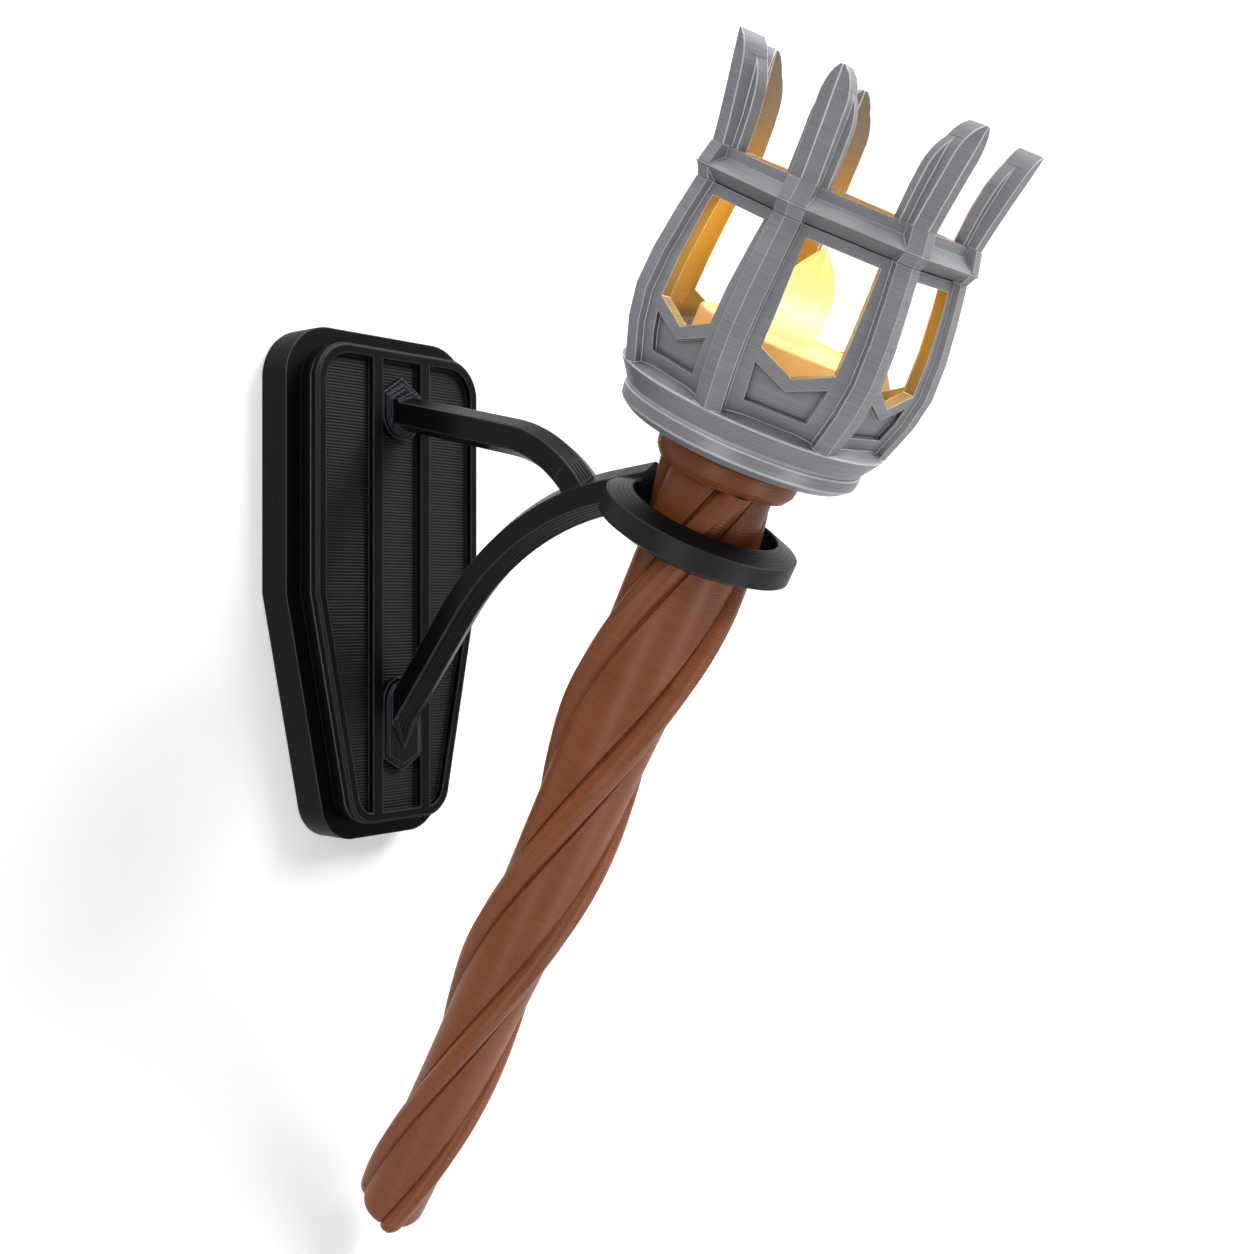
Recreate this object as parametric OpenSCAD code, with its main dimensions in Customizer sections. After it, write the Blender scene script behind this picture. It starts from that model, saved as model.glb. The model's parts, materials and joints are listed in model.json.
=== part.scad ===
// Wall bracket with a lift-out torch, a seven-sided basket and a small candle light.
// Millimetres. Wall plane Y = 0, the object stands out towards -Y, +Z is up, X = 0 is the middle.

/* [Wall plate] */
// half width of the back tier
plate_half_w = 30; // [27:0.5:34]
// height of the back tier above and below the middle
plate_half_h = 63; // [60:0.5:70]
// thickness of the back tier
plate_t = 9.2; // [8.5:0.1:12]
// height where the sides start to taper
taper_z = -2; // [-6:1:2]
// sideways taper for each millimetre down
taper = 0.203; // [0.18:0.001:0.22]
// step from the edge of the back tier to the body tier
ledge = 4.2; // [3:0.1:5]
// thickness of the body tier
body_t = 4; // [3.5:0.1:6]
// thickness of the face tier
face_t = 3.55; // [3.2:0.05:5]
// width of the raised rim of the face
rim_w = 2.5; // [2:0.1:3.5]
// depth of the sunken panels
panel_depth = 1.9; // [1.2:0.1:2.2]
// inner edge of each upright rib
rib_in = 6.3; // [6:0.1:7]
// outer edge of each upright rib
rib_out = 9.35; // [8.6:0.05:10.5]
// radius of the top corners of the back tier
corner_top = 13; // [10:0.5:16]
// radius of the bottom corners of the back tier
corner_bot = 10; // [8:0.5:12]

/* [Arms] */
// width of both arms
arm_w = 8; // [7:0.5:10]
// height of the upright sides of the lower arm
low_side = 4.9; // [4:0.1:6]
// depth of the keels of the lower arm
low_keel = 2.4; // [1.5:0.1:3]
// height of the upright sides of the upper arm
up_side = 5.4; // [4:0.1:6]
// depth of the keels of the upper arm
up_keel = 1.6; // [1:0.1:2.5]
// height of the lower arm at the face
low_z = -31.5; // [-34:0.5:-28]
// rise of the lower arm at the face, degrees
low_angle = 51; // [49:0.5:53]
// straight length of the lower arm
low_straight = 32; // [30:0.5:34]
// radius of the curve of the lower arm
low_radius = 73.7; // [70:0.1:78]
// rise of the lower arm at the ring, degrees
low_end_angle = 6; // [4:0.5:8]
// height of the upper arm at the face
up_z = 43.2; // [42:0.1:44.4]
// fall of the upper arm at the face, degrees
up_angle = 12.6; // [12:0.1:13.4]
// straight length of the upper arm
up_straight = 40.2; // [39:0.1:41.4]
// radius of the curve of the upper arm
up_radius = 36; // [35:0.1:37]
// turn of the curve of the upper arm, degrees
up_turn = 31.4; // [30:0.2:33]

/* [Ring] */
// lean of the torch and the ring away from the wall, degrees
lean = 28.7; // [27:0.1:30]
// outer radius of the ring
ring_r = 21.7; // [21.4:0.1:23]
// radius of the bore of the ring
ring_bore = 16.5; // [16.2:0.1:17]
// height of the outer wall of the ring
ring_wall = 4.7; // [4:0.1:6]
// height of the ring at the bore
ring_h = 8.5; // [7.5:0.1:10]
// radius of the hole in the resting lip
lip_r = 15.1; // [15:0.1:15.4]
// thickness of the resting lip
lip_t = 2; // [1.5:0.1:2.5]
// radius where the lower arm meets the ring
pad_r = 23.4; // [23.2:0.1:25]
// drop of the lower arm below the middle of the ring
pad_drop = 1.8; // [1:0.1:2.5]
// distance from the middle of the ring to the widest line of the basket collar
ring_drop = 70; // [68:0.5:74]

/* [Handle] */
// radius of the smooth trunk at the top
trunk_top = 11.4; // [11:0.1:11.6]
// size of the trunk at the tip against the top
trunk_taper = 0.65; // [0.6:0.01:0.7]
// height of the three rope ridges above the trunk
rope_out = 3; // [2.6:0.1:3.1]
// radius of each rope ridge
rope_r = 3.6; // [3.3:0.1:3.9]
// length in which the ridges turn once
twist_pitch = 202; // [190:1:215]
// lean of the grip against the rest of the torch, degrees
grip_tilt = 1.4; // [0:0.1:1.4]
// distance from the basket collar down to the top of the grip
grip_top = 56.8; // [56:0.1:57.6]
// distance from the basket collar down to the tip of the grip
grip_tip = 264; // [240:1:280]
// radius of the flange at the top of the handle
flange_r = 15.8; // [15:0.1:16.4]
// radius of the rod through the handle
rod_r = 3; // [2.5:0.1:3.5]
// depth of the rod below the basket collar
rod_tip = 130; // [110:1:150]

/* [Basket] */
// radius of the collar at its corners
collar_r = 30.8; // [30:0.1:32]
// half height of the collar
collar_half = 2.5; // [2:0.1:3]
// inward slope of the collar above and below its corners
collar_in = 2.9; // [2.4:0.1:3.4]
// height of the low wall above the collar
wall_top = 4.5; // [4:0.1:5.5]
// thickness of the basket walls
wall_t = 2.4; // [2:0.1:2.8]
// radius of the basket ribs at their widest
belly_r = 32.8; // [31.8:0.1:33.6]
// half width of a basket rib
rib_half = 2.9; // [2.4:0.1:3.2]
// half width of a window
win_half = 7.5; // [6.5:0.1:7.8]
// height of the tips of the prongs above the collar
prong_top = 25; // [22:0.2:30]
// half width of a prong
prong_half = 4.3; // [3.6:0.1:4.8]
// radius of the upper band of the base
band_r = 29.2; // [28.6:0.1:30]
// turn of the basket about its own axis, degrees
basket_spin = 43.8; // [30:0.1:60]

/* [Candle light] */
// radius of the candle light
tea_r = 19; // [18.5:0.1:19.5]
// height of the body of the candle light
tea_h = 16; // [15.5:0.1:17]
// height of the flame above the body
flame_h = 19.5; // [16:0.1:22]
// widest radius of the flame
flame_r = 5.95; // [5.4:0.05:6.4]
// radius of the coin cell
cell_r = 10; // [9.8:0.1:10]
// travel of the switch
switch_travel = 2.5; // [2:0.1:3]

/* [Fit] */
// gap round pieces that slide or lie loose
gap = 0.3; // [0.25:0.01:0.4]
// gap round screws and rods
screw_gap = 0.1; // [0.05:0.01:0.2]

/* [Hidden] */
over = 0.02;
eps = 0.01;
BLACK = [0.04, 0.04, 0.045];
GREY = [0.5, 0.5, 0.52];
BROWN = [0.4, 0.17, 0.09];
STEEL = [0.7, 0.7, 0.72];
CREAM = [0.95, 0.85, 0.6];

// outward levels of the plate
body_y = plate_t + body_t;
face_y = body_y + face_t;
floor_y = face_y - panel_depth;
neck_t = 1.0;
face_half_w = plate_half_w - 3.5;
face_half_h = plate_half_h - 4.4;
key_x = 16;
key_z = 20;
key_r = 4.6;
key_slot_r = 2.3;
key_rise = 9;
key_lip = 3;
screw_xz = [[21, 46], [-21, 46], [13.5, -46], [-13.5, -46]];
screw_r = 1.5;
screw_head_r = 2.8;
screw_head_t = 2.4;
bolt_r = 2;
bolt_head_r = 3.6;
bolt_head_t = 3;
bolt_end_up = 24;
bolt_end_low = 21;
low_bolt_z = low_z + 2;
foot_r = 6.2 - gap / 3;

// arm paths, as points of outward distance and height
function straight_end(p, a, len) = [p[0] + len * cos(a), p[1] + len * sin(a)];
function arc_end(p, a, r, t) = [p[0] + r * (sin(a) - sin(a - t)), p[1] + r * (cos(a - t) - cos(a))];
low_p0 = [face_y, low_z];
low_p1 = straight_end(low_p0, low_angle, low_straight);
low_turn = low_angle - low_end_angle;
low_p2 = arc_end(low_p1, low_angle, low_radius, low_turn);
up_p0 = [face_y, up_z];
up_p1 = straight_end(up_p0, -up_angle, up_straight);
up_p2 = arc_end(up_p1, -up_angle, up_radius, up_turn);
saddle_turn = 14;

// torch frame: its z axis runs up the torch, its y axis points back towards the wall
ring_y = low_p2[0] + 1.3 + pad_r * cos(lean) + pad_drop * sin(lean);
ring_z = low_p2[1] + 0.1 - pad_r * sin(lean) + pad_drop * cos(lean);
torch_y = ring_y + ring_drop * sin(lean);
torch_z = ring_z + ring_drop * cos(lean);
ring_top = -ring_drop + ring_h / 2;
ring_bottom = -ring_drop - ring_h / 2;
lip_top = ring_bottom + lip_t;
seat_t = 2.5;
grip_bend = 85;
seat_top = lip_top + seat_t;
seat_r = ring_bore - 0.4;

// basket heights, measured up from the widest line of the collar
base_top = -40.3;
base_floor = -43.2;
base_bottom = -49.8;
tray_t = 1.8;
tray_rim = 4;
tray_in = tea_r + 1.7;
tea_x = 0;
tea_y = -(tray_in - tea_r - 0.4);
nut_t = 3.2;
nut_r = rod_r * 1.9;
tea_z = base_floor + tray_t;
relief = 1.4;
side_angle = 360 / 7;
k7 = cos(side_angle / 2);
chev = 3.5;
win_top = -4.6;
win_low = -25.5;

// inside the candle light, heights from its underside
shell_t = 1.2;
cell_t = 3.2;
contact_t = 0.6;
board_t = 1.2;
well_t = shell_t + cell_t + contact_t;
door_r = cell_r + 0.9;
top_t = 1.2;
top_z = tea_h - top_t;
plug_r = 4.5;
switch_y = 14.7;

module out_of_wall(y0) {
    translate([0, -y0, 0])
        rotate([90, 0, 0])
            children();
}

module bolt_at(x, z, y0, y1, r) {
    translate([x, -y0, z])
        rotate([90, 0, 0])
            cylinder(h = y1 - y0, r = r, $fn = 48);
}

// plate outline with tangent corners and tapered sides
module coffin(t, hw, top, bot, rt, rb) {
    m = sqrt(1 + taper * taper);
    zc = bot + rb;
    xc = hw - taper * (taper_z - zc) - rb * m;
    linear_extrude(t)
        polygon([[-hw, taper_z], [-hw, top - rt], [-hw + rt, top], [hw - rt, top], [hw, top - rt],
            [hw, taper_z], [xc + rb / m, zc - rb * taper / m], [xc, bot], [-xc, bot],
            [-xc - rb / m, zc - rb * taper / m]]);
    for (s = [-1, 1]) {
        translate([s * (hw - rt), top - rt, 0])
            cylinder(h = t, r = rt + over, $fn = 96);
        translate([s * xc, zc, 0])
            cylinder(h = t, r = rb + over, $fn = 96);
    }
}

module tier(inset, t) {
    coffin(t, plate_half_w - inset, plate_half_h - inset, -plate_half_h + inset,
        corner_top - inset * 0.7, corner_bot - inset * 0.6);
}

module face_tier(inset, t) {
    coffin(t, face_half_w - inset, face_half_h - inset, -face_half_h + inset,
        corner_top - 3.5 - inset * 0.8, corner_bot - 2.8 - inset * 0.8);
}

module keyhole_cut() {
    for (s = [-1, 1]) {
        bolt_at(s * key_x, key_z, -1, plate_t - 1, key_r);
        bolt_at(s * key_x, key_z + key_rise, -1, plate_t - 1, key_slot_r);
        bolt_at(s * key_x, key_z + key_rise, key_lip, plate_t - 1, key_r);
        translate([s * key_x - key_slot_r, -plate_t + 1, key_z])
            cube([2 * key_slot_r, plate_t, key_rise]);
        translate([s * key_x - key_r, -plate_t + 1, key_z])
            cube([2 * key_r, plate_t - 1 - key_lip, key_rise]);
    }
}

module screw_holes(r, y0, y1) {
    for (p = screw_xz)
        bolt_at(p[0], p[1], y0, y1, r);
}

module bolt_holes(r, y0, y1) {
    bolt_at(0, up_z, y0, y1, r);
    bolt_at(0, low_bolt_z, y0, y1, r);
}

module back_plate() {
    color(BLACK)
        difference() {
            out_of_wall(0)
                tier(0, plate_t);
            keyhole_cut();
            screw_holes(screw_r + screw_gap, -1, plate_t + 1);
            screw_holes(screw_head_r + gap, -1, screw_head_t + 0.4);
            bolt_holes(bolt_r + screw_gap, -1, plate_t + 1);
            bolt_holes(bolt_head_r + gap, -1, bolt_head_t + 0.4);
        }
}

module plate_body() {
    color(BLACK)
        difference() {
            out_of_wall(plate_t)
                tier(ledge, body_t);
            screw_holes(screw_r + screw_gap, 0, face_y);
            bolt_holes(bolt_r + screw_gap, 0, face_y);
        }
}

// sunken panels of the face, one each side and one down the middle
module panels() {
    difference() {
        face_tier(rim_w, panel_depth + 1);
        for (s = [-1, 1])
            translate([s > 0 ? rib_in : -rib_out, -100, -1])
                cube([rib_out - rib_in, 200, 10]);
    }
}

module face_plate() {
    color(BLACK)
        difference() {
            union() {
                out_of_wall(body_y)
                    face_tier(1.2, face_t);
                out_of_wall(body_y + neck_t)
                    face_tier(0, face_t - neck_t - 0.7);
                out_of_wall(body_y + neck_t)
                    face_tier(0.5, face_t - neck_t);
            }
            out_of_wall(floor_y)
                panels();
            screw_holes(screw_r + screw_gap, body_y - 1, floor_y - 0.6);
            bolt_holes(bolt_r + screw_gap, 0, face_y + 1);
        }
}

// pointed foot of an arm in the middle channel
module foot(zc, shoulder, tip, inset, t) {
    r = foot_r - inset;
    s = tip > zc ? 1 : -1;
    translate([0, zc, 0])
        cylinder(h = t, r = r, $fn = 72);
    linear_extrude(t)
        polygon([[-r, zc], [r, zc], [r, shoulder - s * inset * 0.5], [0, tip - s * inset * 1.25],
            [-r, shoulder - s * inset * 0.5]]);
}

module feet(zc, shoulder, tip) {
    out_of_wall(floor_y) {
        foot(zc, shoulder, tip, 0, panel_depth);
        foot(zc, shoulder, tip, 1.3, panel_depth + 0.8);
    }
}

function hex(side, keel, w = arm_w) = [[-w / 2, -side / 2], [0, -side / 2 - keel], [w / 2, -side / 2],
    [w / 2, side / 2], [0, side / 2 + keel], [-w / 2, side / 2]];

module along(p, a) {
    translate([0, -p[0], p[1]])
        rotate([90 - a, 0, 0])
            children();
}

module arm_straight(p, a, len, side, keel) {
    along(p, a)
        linear_extrude(len)
            polygon(hex(side, keel));
}

module arm_curve(p, a, r, turn, side, keel, w = arm_w) {
    along(p, a)
        translate([0, -r, 0])
            rotate([90, 0, 90])
                rotate_extrude(angle = turn, $fn = 180)
                    translate([r, 0])
                        polygon([for (q = hex(side, keel, w)) [q[1], q[0]]]);
}

module before_floor() {
    translate([-30, -floor_y, -100])
        cube([60, 60, 200]);
}

// level end of the lower arm, a hair thinner than its curve
module low_tail(len) {
    along(low_p2, low_end_angle)
        translate([0, 0, -1.5])
            linear_extrude(len + 1.5)
                polygon(hex(low_side - 0.04, low_keel, arm_w - 0.04));
}

module lower_arm() {
    color(BLACK)
        difference() {
            union() {
                difference() {
                    union() {
                        arm_straight(straight_end(low_p0, low_angle, -14), low_angle,
                            low_straight + 14 + eps, low_side, low_keel);
                        arm_curve(low_p1, low_angle, low_radius, low_turn, low_side, low_keel);
                        low_tail(10);
                        arm_curve(up_p2, -up_angle - up_turn, up_radius, saddle_turn, up_side, up_keel,
                            arm_w - 0.06);
                    }
                    before_floor();
                    on_ring()
                        translate([-30, -60, -30])
                            cube([60, 60 + pad_r, 60]);
                }
                feet(low_z + 2.7, low_z - 11.3, low_z - 14.9);
            }
            bolt_at(0, low_bolt_z, floor_y - 1, bolt_end_low, bolt_r + screw_gap);
        }
}

module upper_arm() {
    color(BLACK)
        difference() {
            union() {
                difference() {
                    union() {
                        arm_straight(straight_end(up_p0, -up_angle, -6), -up_angle,
                            up_straight + 6 + eps, up_side, up_keel);
                        arm_curve(up_p1, -up_angle, up_radius, up_turn, up_side, up_keel);
                    }
                    before_floor();
                }
                feet(up_z - 0.8, up_z + 4.7, up_z + 8.7);
                difference() {
                    arm_straight(straight_end(up_p0, -up_angle, -2), -up_angle, 4.6,
                        up_side + 1.4, up_keel + 0.6);
                    before_floor();
                }
            }
            bolt_at(0, up_z, floor_y - 1, bolt_end_up, bolt_r + screw_gap);
        }
}

module on_torch() {
    translate([0, -torch_y, torch_z])
        rotate([lean, 0, 0])
            children();
}

module on_ring() {
    on_torch()
        translate([0, 0, -ring_drop])
            children();
}

module ring() {
    h = ring_h / 2;
    w = ring_wall / 2;
    color(BLACK)
        difference() {
            union() {
                on_ring()
                    rotate_extrude($fn = 180)
                        polygon([[lip_r, -h], [ring_bore + 0.4, -h], [ring_r, -w], [ring_r, w],
                            [ring_bore + 0.4, h], [ring_bore, h], [ring_bore, -h + lip_t],
                            [lip_r, -h + lip_t]]);
                intersection() {
                    low_tail(12);
                    on_ring()
                        translate([-30, 0, -30])
                            cube([60, pad_r, 60]);
                }
            }
            on_ring() {
                translate([0, 0, -h + lip_t])
                    cylinder(h = 60, r = ring_bore, $fn = 180);
                translate([0, 0, -40])
                    cylinder(h = 80, r = lip_r, $fn = 180);
            }
        }
}

module one_bolt(z, y1) {
    bolt_at(0, z, 0.4, 0.4 + bolt_head_t, bolt_head_r);
    bolt_at(0, z, 0.4, y1, bolt_r);
}

module arm_screws() {
    color(STEEL) {
        one_bolt(up_z, bolt_end_up);
        one_bolt(low_bolt_z, bolt_end_low);
    }
}

module plate_screws() {
    color(STEEL)
        for (p = screw_xz) {
            bolt_at(p[0], p[1], 0.4, 0.4 + screw_head_t, screw_head_r);
            bolt_at(p[0], p[1], 0.4, floor_y - 0.6, screw_r);
        }
}

// trunk with three rope ridges, each between two fine grooves
module rope_section(k) {
    difference() {
        union() {
            circle(r = trunk_top * k, $fn = 30);
            for (i = [0 : 2])
                rotate(i * 120)
                    translate([(trunk_top + rope_out - rope_r) * k, 0])
                        circle(r = rope_r * k, $fn = 20);
        }
        for (i = [0 : 2])
            for (s = [-1, 1])
                rotate(i * 120 + s * 19.6)
                    translate([(trunk_top + 0.1) * k, 0])
                        circle(r = 0.7 * k, $fn = 4);
    }
}

function k_at(d) = 1 - (1 - trunk_taper) * (d - grip_top) / (grip_tip - grip_top);
function spin_at(d) = 210.8 + (137 - d) * 360 / twist_pitch;

// a length of the twisted grip between two distances below the collar
module grip(d0, d1, k0, k1, n) {
    translate([0, 0, -d1])
        rotate(spin_at(d1))
            linear_extrude(height = d1 - d0, twist = -(d1 - d0) * 360 / twist_pitch,
                    scale = k0 / k1, slices = n)
                rope_section(k1);
}

// the grip leans a little from the torch's own line, about a point just below the ring
module on_grip() {
    translate([0, 0, -grip_bend])
        rotate([grip_tilt, 0, 0])
            translate([0, 0, grip_bend])
                children();
}

module upper_grip() {
    color(BROWN)
        on_torch()
            difference() {
                on_grip()
                    grip(grip_top - 2, 2 - seat_top, k_at(grip_top - 2), k_at(2 - seat_top), 6);
                translate([-30, -30, -grip_top])
                    cube([60, 60, 20]);
                translate([-30, -30, seat_top - 20])
                    cube([60, 60, 20]);
                translate([0, 0, -100])
                    cylinder(h = 60, r = rod_r + screw_gap, $fn = 48);
            }
}

module lower_grip() {
    color(BROWN)
        on_torch()
            difference() {
                on_grip() {
                    grip(-lip_top - 2, grip_tip - 6, k_at(-lip_top - 2), k_at(grip_tip - 6), 38);
                    grip(grip_tip - 6.5, grip_tip - 1.8, k_at(grip_tip - 6) * 0.99,
                        k_at(grip_tip) * 0.9, 2);
                    grip(grip_tip - 2.2, grip_tip, k_at(grip_tip) * 0.89, k_at(grip_tip) * 0.66, 1);
                }
                translate([-30, -30, lip_top])
                    cube([60, 60, 20]);
                translate([0, 0, -rod_tip])
                    cylinder(h = rod_tip, r = rod_r + screw_gap, $fn = 48);
            }
}

module handle_flange() {
    r0 = rod_r + screw_gap;
    color(BROWN)
        on_torch()
            rotate_extrude($fn = 120)
                polygon([[r0, -grip_top], [trunk_top + rope_out - 0.2, -grip_top], [flange_r - 0.4, -grip_top + 1.7],
                    [flange_r, -grip_top + 4.5], [flange_r - 0.5, base_bottom], [r0, base_bottom]]);
}

module seat_collar() {
    color(BLACK)
        on_torch()
            translate([0, 0, lip_top])
                difference() {
                    cylinder(h = seat_t, r = seat_r, $fn = 120);
                    translate([0, 0, -1])
                        cylinder(h = seat_t + 2, r = rod_r + screw_gap, $fn = 48);
                }
}

module core_rod() {
    color(STEEL)
        on_torch()
            translate([0, 0, -rod_tip])
                cylinder(h = rod_tip + base_floor - 0.3, r = rod_r, $fn = 48);
}

module rod_nut() {
    color(STEEL)
        on_torch()
            translate([0, 0, base_floor - 0.3 - nut_t])
                difference() {
                    cylinder(h = nut_t, r = nut_r, $fn = 6);
                    translate([0, 0, -1])
                        cylinder(h = nut_t + 2, r = rod_r + screw_gap, $fn = 48);
                }
}

module basket_base() {
    color(GREY)
        on_torch()
            difference() {
                rotate_extrude($fn = 180)
                    polygon([[0, base_bottom], [24, base_bottom], [26.1, base_bottom + 1.6],
                        [26.4, base_bottom + 4.4], [25.6, base_bottom + 4.7],
                        [26.2, base_bottom + 5], [band_r, base_top], [0, base_top]]);
                translate([0, 0, base_floor])
                    cylinder(h = 10, r = tray_in + 1.6 + gap, $fn = 120);
                translate([0, 0, base_floor - 0.3 - nut_t])
                    cylinder(h = 10, r = nut_r + 0.1, $fn = 6);
                translate([0, 0, base_bottom - 1])
                    cylinder(h = 20, r = rod_r + screw_gap, $fn = 48);
            }
}

// radius of the rib crest down the basket
rib_line = [[band_r, base_top], [belly_r - 1, -32], [belly_r, -25.5], [belly_r - 0.5, -18],
    [31.0, -10], [29.5, -collar_half]];
rib_slope = 24;
function reach(a, b, h) = [a[0] + (b[0] - a[0]) * (h - a[1]) / (b[1] - a[1]), h];
cage_line = concat([reach(rib_line[0], rib_line[1], base_top - 1)], [for (i = [1 : 4]) rib_line[i]],
    [reach(rib_line[5], rib_line[4], -collar_half + 1)]);

// one flat side of the basket for each corner, mitred at the corners
module seven(start) {
    for (i = [0 : 6])
        rotate(basket_spin + start + i * side_angle)
            children();
}

module tangent_bar(half) {
    translate([0, half, 0])
        rotate([90, 0, 0])
            linear_extrude(2 * half)
                children();
}

// solid with seven flat sides that follow the cage, drawn in by a distance
module seven_sided(inset) {
    n = len(cage_line) - 1;
    intersection_for (i = [0 : 6])
        rotate(basket_spin + (i + 0.5) * side_angle)
            tangent_bar(50)
                polygon(concat([[-50, cage_line[0][1]]],
                    [for (p = cage_line) [(p[0] - 1.3) * k7 - inset, p[1]]], [[-50, cage_line[n][1]]]));
}

module window_cut() {
    translate([15, 0, 0])
        rotate([90, 0, 90])
            linear_extrude(30)
                polygon([[-win_half, win_top], [win_half, win_top], [win_half, win_low],
                    [0, win_low - chev], [-win_half, win_low]]);
}

module recess_cut() {
    intersection() {
        translate([15, 0, 0])
            rotate([90, 0, 90])
                linear_extrude(30)
                    polygon([[-win_half, win_low - 2.9], [0, win_low - chev - 2.6],
                        [win_half, win_low - 2.9], [win_half - 1.1, base_top + 4.2],
                        [-win_half + 1.1, base_top + 4.2]]);
        tangent_bar(20)
            polygon(concat([for (p = cage_line) [(p[0] - 2.5) * k7, p[1]]], [[40, 0], [40, base_top]]));
    }
}

module rib_body(inner) {
    n = len(cage_line) - 1;
    intersection() {
        edge_of(cage_line, rib_slope);
        tangent_bar(rib_half)
            polygon(concat([for (p = cage_line) [p[0] + 1, p[1]]],
                [for (i = [n : -1 : 0]) [cage_line[i][0] - inner, cage_line[i][1]]]));
    }
}

module basket_cage() {
    color(GREY)
        on_torch()
            difference() {
                union() {
                    difference() {
                        seven_sided(0);
                        seven_sided(wall_t);
                        seven(side_angle / 2) {
                            window_cut();
                            recess_cut();
                        }
                    }
                    seven(0)
                        rib_body(5.2);
                    difference() {
                        translate([0, 0, base_top - 0.5])
                            cylinder(h = 2, r1 = band_r + 0.6, r2 = band_r - 3.1, $fn = 180);
                        translate([0, 0, base_top - 1])
                            cylinder(h = 4, r = tray_in + 1.6 + gap, $fn = 120);
                    }
                }
                translate([-50, -50, base_top - 10])
                    cube([100, 100, 10]);
                translate([-50, -50, -collar_half])
                    cube([100, 100, 10]);
            }
}

// gothic arch that closes the top of a prong
function arch(half, top, rise, n = 5) =
    concat([for (i = [0 : n]) [half * sqrt(1 - pow(i / n, 1.6)) + (i == n ? 0.5 : 0), top - rise + rise * i / n]],
        [for (i = [n : -1 : 0]) [-half * sqrt(1 - pow(i / n, 1.6)) - (i == n ? 0.5 : 0), top - rise + rise * i / n]]);

module prong_outline(half, top, rise) {
    translate([15, 0, 0])
        rotate([90, 0, 90])
            linear_extrude(30)
                polygon(concat([[-half, 0], [half, 0]], arch(half, top, rise)));
}

// all that lies inside two slopes that meet in an upright edge along the line
module edge_of(line, a) {
    n = len(line) - 1;
    intersection_for (s = [-1, 1])
        rotate(s * a)
            tangent_bar(26)
                polygon(concat([[8, line[0][1] - 1], [line[0][0] * cos(a), line[0][1] - 1]],
                    [for (p = line) [p[0] * cos(a), p[1]]],
                    [[line[n][0] * cos(a), line[n][1] + 1], [8, line[n][1] + 1]]));
}

// outer lines of the wings and of the ridge of a prong, and the line of its inner fold
wing_line = [[collar_r - 3.6, wall_top - 3], [collar_r - 3, 11], [collar_r - 2.1, 17.5],
    [collar_r - 1, prong_top]];
crest_line = [[collar_r - 2, wall_top - 3], [collar_r - 1, 9], [collar_r, 15],
    [collar_r + 0.9, 20], [collar_r + 1.7, prong_top]];
fold_line = [[collar_r - 5.6, wall_top - 3], [collar_r - 5.2, 11], [collar_r - 4.4, 17.5],
    [collar_r - 3.4, prong_top]];

module basket_collar() {
    color(GREY)
        on_torch()
            union() {
                difference() {
                    intersection_for (i = [0 : 6])
                        rotate(basket_spin + (i + 0.5) * side_angle)
                            tangent_bar(50)
                                polygon([[-50, -collar_half], [(collar_r - 3.1) * k7, -collar_half],
                                    [collar_r * k7, 0], [(collar_r - collar_in) * k7, collar_half],
                                    [(collar_r - collar_in) * k7, wall_top], [-50, wall_top]]);
                    rotate(basket_spin)
                        translate([0, 0, -30])
                            cylinder(h = 60, r = collar_r - collar_in - wall_t / k7, $fn = 7);
                }
                seven(0) {
                    intersection() {
                        edge_of([[collar_r - 0.3, 0.4], [collar_r - 1.4, wall_top]], rib_slope);
                        translate([collar_r - 6.2, -rib_half, 0.4])
                            cube([12, 2 * rib_half, wall_top - 0.4]);
                    }
                    intersection() {
                        edge_of([[collar_r - 1.5, -collar_half], [collar_r - 0.5, -0.4]], rib_slope);
                        translate([collar_r - 6.2, -rib_half, -collar_half])
                            cube([12, 2 * rib_half, collar_half - 0.4]);
                    }
                }
            }
}

module basket_prongs() {
    t = prong_top;
    color(GREY)
        on_torch()
            difference() {
                seven(0)
                    difference() {
                        union() {
                            intersection() {
                                edge_of(wing_line, side_angle / 2);
                                prong_outline(prong_half, t - 1.8, 8);
                            }
                            intersection() {
                                edge_of(crest_line, rib_slope);
                                prong_outline(rib_half, t, 6);
                            }
                        }
                        edge_of(fold_line, side_angle / 2);
                    }
                translate([-50, -50, wall_top - 10])
                    cube([100, 100, 10]);
            }
}

module candle_tray() {
    color(BLACK)
        on_torch()
            rotate_extrude($fn = 120)
                polygon([[0, base_floor], [tray_in + 1.6, base_floor], [tray_in + 1.6, base_floor + tray_rim],
                    [tray_in, base_floor + tray_rim], [tray_in, tea_z], [tea_r - 2, tea_z],
                    [tea_r - 2, tea_z - relief], [0, tea_z - relief]]);
}

module on_light() {
    on_torch()
        translate([tea_x, tea_y, tea_z])
            children();
}

module tealight_shell() {
    color(CREAM)
        on_light()
            difference() {
                union() {
                    difference() {
                        cylinder(h = top_z, r = tea_r, $fn = 120);
                        translate([0, 0, shell_t])
                            cylinder(h = 40, r = tea_r - shell_t, $fn = 120);
                    }
                    cylinder(h = well_t, r = cell_r + 1.6, $fn = 96);
                }
                translate([0, 0, shell_t])
                    cylinder(h = 40, r = cell_r + 0.2, $fn = 96);
                translate([0, 0, -1])
                    cylinder(h = 4, r = door_r + 0.2, $fn = 96);
                translate([-1.7 - switch_travel, switch_y - 1.3, -1])
                    cube([3.4 + switch_travel, 2.6, 4]);
            }
}

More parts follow.
